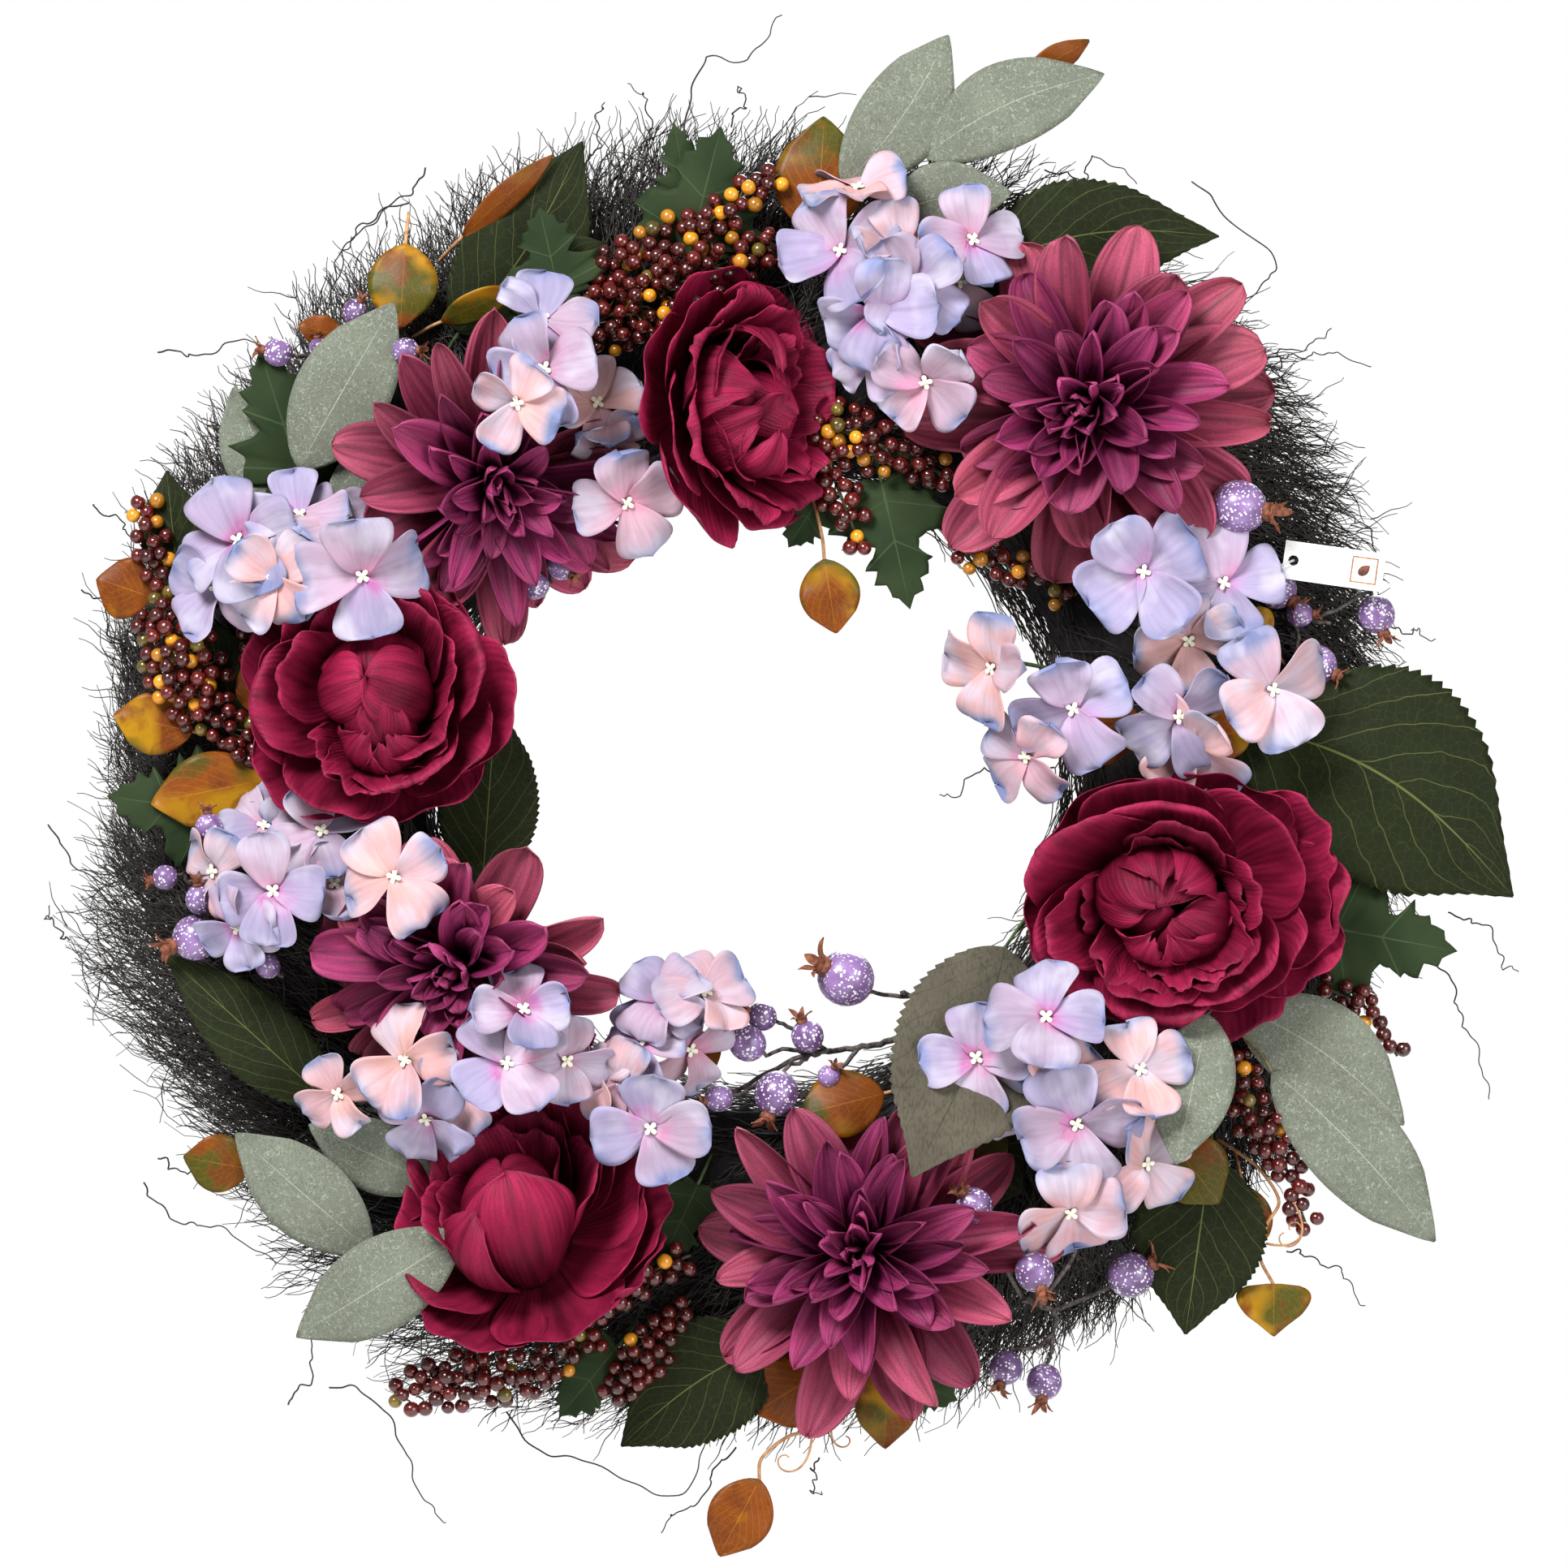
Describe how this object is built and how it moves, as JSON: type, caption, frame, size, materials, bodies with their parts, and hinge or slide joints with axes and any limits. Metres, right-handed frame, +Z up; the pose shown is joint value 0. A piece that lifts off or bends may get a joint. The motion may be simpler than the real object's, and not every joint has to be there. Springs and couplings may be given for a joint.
{
  "type": "harvest door wreath",
  "caption": "Round artificial autumn wreath: twig mat on a wire frame with fabric dahlias, peonies, hydrangeas, berries, hips and leaves, on a folding hanging loop.",
  "frame": {"origin": "underside of the hanging loop's top, where a door hook carries it", "axes": "+Z up, -Y out from the door towards the viewer, +X to the viewer's right"},
  "size_m": [0.5974, 0.1183, 0.6281],
  "materials": {
    "black_wire": "black paint, satin",
    "black_twig": "dyed black, matt bark",
    "green_wire": "dark green florist wire",
    "dahlia_fabric": "satin polyester, plum at the middle and dusty rose outside",
    "peony_fabric": "ribbed satin polyester, burgundy",
    "stem_plastic": "green moulded",
    "hydrangea_fabric": "lilac-blue and peach-pink print",
    "berry_lacquer": "dark burgundy lacquer over foam",
    "hip_lacquer": "purple with white speckles",
    "broad_leaf_fabric": "dark green with pale veins",
    "sage_flock": "flocked grey-green",
    "amber_leaf_fabric": "amber print",
    "tag_card": "blank white card",
    "clear_nylon": "clear thin loop"
  },
  "bodies": {
    "wreath": {"wire_frame": "black_wire", "twig_bundle_1": "black_twig", "twig_bundle_2": "black_twig", "twig_bundle_3": "black_twig", "twig_bundle_4": "black_twig", "tie_wire_1": "green_wire", "tie_wire_2": "green_wire", "tie_wire_3": "green_wire", "tie_wire_4": "green_wire", "dahlia_1_petals": "dahlia_fabric", "dahlia_1_stem": "stem_plastic", "dahlia_2_petals": "dahlia_fabric", "dahlia_2_stem": "stem_plastic", "dahlia_3_petals": "dahlia_fabric", "dahlia_3_stem": "stem_plastic", "dahlia_4_petals": "dahlia_fabric", "dahlia_4_stem": "stem_plastic", "peony_1_petals": "peony_fabric", "peony_1_stem": "stem_plastic", "peony_2_petals": "peony_fabric", "peony_2_stem": "stem_plastic", "peony_3_petals": "peony_fabric", "peony_3_stem": "stem_plastic", "peony_4_petals": "peony_fabric", "peony_4_stem": "stem_plastic", "hydrangea_1": "hydrangea_fabric", "hydrangea_2": "hydrangea_fabric", "hydrangea_3": "hydrangea_fabric", "hydrangea_4": "hydrangea_fabric", "hydrangea_5": "hydrangea_fabric", "hydrangea_6": "hydrangea_fabric", "hydrangea_7": "hydrangea_fabric", "hydrangea_8": "hydrangea_fabric", "berry_spray_1": "berry_lacquer", "berry_spray_2": "berry_lacquer", "berry_spray_3": "berry_lacquer", "berry_spray_4": "berry_lacquer", "berry_spray_5": "berry_lacquer", "rosehip_spray_1": "hip_lacquer", "rosehip_spray_2": "hip_lacquer", "rosehip_spray_3": "hip_lacquer", "rosehip_spray_4": "hip_lacquer", "rosehip_spray_5": "hip_lacquer", "broad_leaf_1": "broad_leaf_fabric", "broad_leaf_2": "broad_leaf_fabric", "broad_leaf_3": "broad_leaf_fabric", "broad_leaf_4": "broad_leaf_fabric", "broad_leaf_5": "broad_leaf_fabric", "broad_leaf_6": "broad_leaf_fabric", "sage_spray_1": "sage_flock", "sage_spray_2": "sage_flock", "sage_spray_3": "sage_flock", "sage_spray_4": "sage_flock", "dangling_leaf_1": "amber_leaf_fabric", "dangling_leaf_2": "amber_leaf_fabric", "lobed_leaf_1": "broad_leaf_fabric", "amber_leaf_1": "amber_leaf_fabric", "tag_fastener": "clear_nylon"},
    "hanger": {"hanging_loop": "black_wire"},
    "tag": {"tag_card": "tag_card"}
  },
  "joints": [
    {"name": "hanger_fold", "type": "hinge", "parent": "wreath", "child": "hanger", "pos_m": [0, -0.0037, -0.037], "axis": [-1, 0, 0], "range_deg": [0, 165]},
    {"name": "tag_swing", "type": "hinge", "parent": "wreath", "child": "tag", "pos_m": [0.22441, -0.0646, -0.16142], "axis": [0, -1, 0], "range_deg": [-85, 55]}
  ]
}
